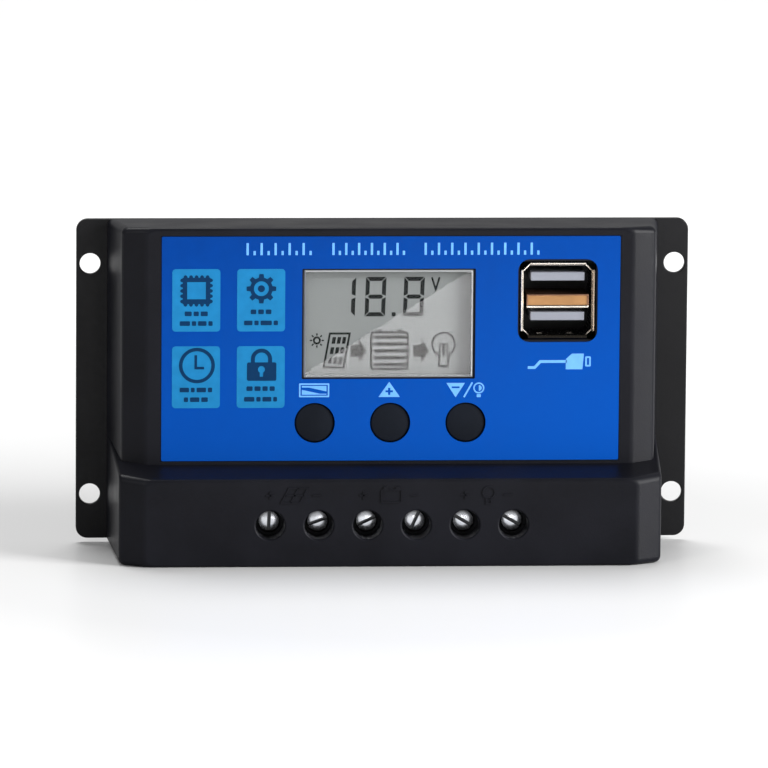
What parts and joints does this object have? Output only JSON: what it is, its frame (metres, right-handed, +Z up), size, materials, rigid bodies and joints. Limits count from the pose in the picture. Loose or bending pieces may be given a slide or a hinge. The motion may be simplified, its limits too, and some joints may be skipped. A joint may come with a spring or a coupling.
{
  "type": "charge controller",
  "caption": "Wall-mounted solar charge controller with a grey display, push buttons, stacked USB sockets and a row of screw terminals under a stepped hood.",
  "frame": {"origin": "on the surface the controller stands on, under the middle of the terminal hood's foot and midway between front and back", "axes": "+X to the viewer's right along the row of terminals, +Y from the display side towards the back plate, +Z up from the terminal edge to the top edge"},
  "size_m": [0.133, 0.0336, 0.072],
  "materials": {
    "housing_plastic": "black ABS with a fine satin moulded surface and soft edges",
    "plate_paint": "satin black paint on sheet steel",
    "label_print": "blue print under a clear overlay, satin gloss",
    "window_clear": "clear polished display window",
    "lcd_glass": "grey reflective liquid crystal glass",
    "white_plastic": "white moulded plastic",
    "button_plastic": "navy black, fine matt",
    "grey_plastic": "plain grey moulded plastic",
    "board_laminate": "green solder mask over glass laminate",
    "shell_nickel": "nickel-plated sheet, slightly brushed",
    "contact_copper": "bare copper alloy",
    "screw_steel": "bright zinc-plated steel",
    "terminal_plastic": "dark moulded polyamide",
    "chip_epoxy": "black moulding compound",
    "pad_silicone": "grey insulating pad",
    "can_sleeve": "dark heat-shrunk sleeve",
    "ferrite": "sintered ferrite"
  },
  "bodies": {
    "case": {"back_plate": "plate_paint", "front_housing": "housing_plastic", "face_label": "label_print", "lcd_window": "window_clear", "lcd_glass": "lcd_glass", "lcd_backlight": "white_plastic", "lcd_carrier": "grey_plastic", "lcd_pin_strip": "chip_epoxy", "main_circuit_board": "board_laminate", "current_shunt": "screw_steel", "usb_shell": "shell_nickel", "usb_insulator": "white_plastic", "usb_tongue_upper": "white_plastic", "usb_tongue_lower": "white_plastic", "usb_divider": "contact_copper", "terminal_block": "terminal_plastic", "thermal_pad": "pad_silicone", "capacitor_large": "can_sleeve", "capacitor_small": "can_sleeve", "inductor": "ferrite", "controller_chip": "chip_epoxy", "tact_switch_menu": "shell_nickel", "tact_switch_up": "shell_nickel", "tact_switch_down": "shell_nickel", "contact_bar_1": "contact_copper", "contact_bar_2": "contact_copper", "contact_bar_3": "contact_copper", "contact_bar_4": "contact_copper", "contact_bar_5": "contact_copper", "contact_bar_6": "contact_copper", "case_screw_1": "screw_steel", "board_spacer_1": "grey_plastic", "mosfet_1": "chip_epoxy", "case_screw_2": "screw_steel", "board_spacer_2": "grey_plastic", "mosfet_2": "chip_epoxy", "case_screw_3": "screw_steel", "board_spacer_3": "grey_plastic", "mosfet_3": "chip_epoxy", "case_screw_4": "screw_steel", "board_spacer_4": "grey_plastic", "mosfet_4": "chip_epoxy"},
    "button_menu": {"button_menu": "button_plastic", "switch_plunger_menu": "housing_plastic"},
    "button_up": {"button_up": "button_plastic", "switch_plunger_up": "housing_plastic"},
    "button_down": {"button_down": "button_plastic", "switch_plunger_down": "housing_plastic"},
    "screw_1": {"terminal_screw_1": "screw_steel"},
    "clamp_1": {"clamp_cage_1": "shell_nickel"},
    "screw_2": {"terminal_screw_2": "screw_steel"},
    "clamp_2": {"clamp_cage_2": "shell_nickel"},
    "screw_3": {"terminal_screw_3": "screw_steel"},
    "clamp_3": {"clamp_cage_3": "shell_nickel"},
    "screw_4": {"terminal_screw_4": "screw_steel"},
    "clamp_4": {"clamp_cage_4": "shell_nickel"},
    "screw_5": {"terminal_screw_5": "screw_steel"},
    "clamp_5": {"clamp_cage_5": "shell_nickel"},
    "screw_6": {"terminal_screw_6": "screw_steel"},
    "clamp_6": {"clamp_cage_6": "shell_nickel"}
  },
  "joints": [
    {"name": "button_menu_press", "type": "slide", "parent": "case", "child": "button_menu", "axis": [0, 1, 0], "range_m": [0, 0.0005], "stiffness_N_per_m": 400},
    {"name": "button_up_press", "type": "slide", "parent": "case", "child": "button_up", "axis": [0, 1, 0], "range_m": [0, 0.0005], "stiffness_N_per_m": 400},
    {"name": "button_down_press", "type": "slide", "parent": "case", "child": "button_down", "axis": [0, 1, 0], "range_m": [0, 0.0005], "stiffness_N_per_m": 400},
    {"name": "terminal_screw_1_turn", "type": "hinge", "parent": "case", "child": "screw_1", "pos_m": [-0.02598, -0.00775, 0.0091], "axis": [0, 1, 0], "range_deg": [0, 1440]},
    {"name": "clamp_cage_1_lift", "type": "slide", "parent": "case", "child": "clamp_1", "axis": [0, -1, 0], "range_m": [0, 0.0028]},
    {"name": "terminal_screw_2_turn", "type": "hinge", "parent": "case", "child": "screw_2", "pos_m": [-0.01553, -0.00775, 0.0091], "axis": [0, 1, 0], "range_deg": [0, 1440]},
    {"name": "clamp_cage_2_lift", "type": "slide", "parent": "case", "child": "clamp_2", "axis": [0, -1, 0], "range_m": [0, 0.0028]},
    {"name": "terminal_screw_3_turn", "type": "hinge", "parent": "case", "child": "screw_3", "pos_m": [-0.00507, -0.00775, 0.0091], "axis": [0, 1, 0], "range_deg": [0, 1440]},
    {"name": "clamp_cage_3_lift", "type": "slide", "parent": "case", "child": "clamp_3", "axis": [0, -1, 0], "range_m": [0, 0.0028]},
    {"name": "terminal_screw_4_turn", "type": "hinge", "parent": "case", "child": "screw_4", "pos_m": [0.00537, -0.00775, 0.0091], "axis": [0, 1, 0], "range_deg": [0, 1440]},
    {"name": "clamp_cage_4_lift", "type": "slide", "parent": "case", "child": "clamp_4", "axis": [0, -1, 0], "range_m": [0, 0.0028]},
    {"name": "terminal_screw_5_turn", "type": "hinge", "parent": "case", "child": "screw_5", "pos_m": [0.01582, -0.00775, 0.0091], "axis": [0, 1, 0], "range_deg": [0, 1440]},
    {"name": "clamp_cage_5_lift", "type": "slide", "parent": "case", "child": "clamp_5", "axis": [0, -1, 0], "range_m": [0, 0.0028]},
    {"name": "terminal_screw_6_turn", "type": "hinge", "parent": "case", "child": "screw_6", "pos_m": [0.02627, -0.00775, 0.0091], "axis": [0, 1, 0], "range_deg": [0, 1440]},
    {"name": "clamp_cage_6_lift", "type": "slide", "parent": "case", "child": "clamp_6", "axis": [0, -1, 0], "range_m": [0, 0.0028]}
  ],
  "couplings": [
    {"joint": "terminal_screw_1_turn", "follows": "clamp_cage_1_lift", "rad_per_m": 8975.9},
    {"joint": "terminal_screw_2_turn", "follows": "clamp_cage_2_lift", "rad_per_m": 8975.9},
    {"joint": "terminal_screw_3_turn", "follows": "clamp_cage_3_lift", "rad_per_m": 8975.9},
    {"joint": "terminal_screw_4_turn", "follows": "clamp_cage_4_lift", "rad_per_m": 8975.9},
    {"joint": "terminal_screw_5_turn", "follows": "clamp_cage_5_lift", "rad_per_m": 8975.9},
    {"joint": "terminal_screw_6_turn", "follows": "clamp_cage_6_lift", "rad_per_m": 8975.9}
  ]
}
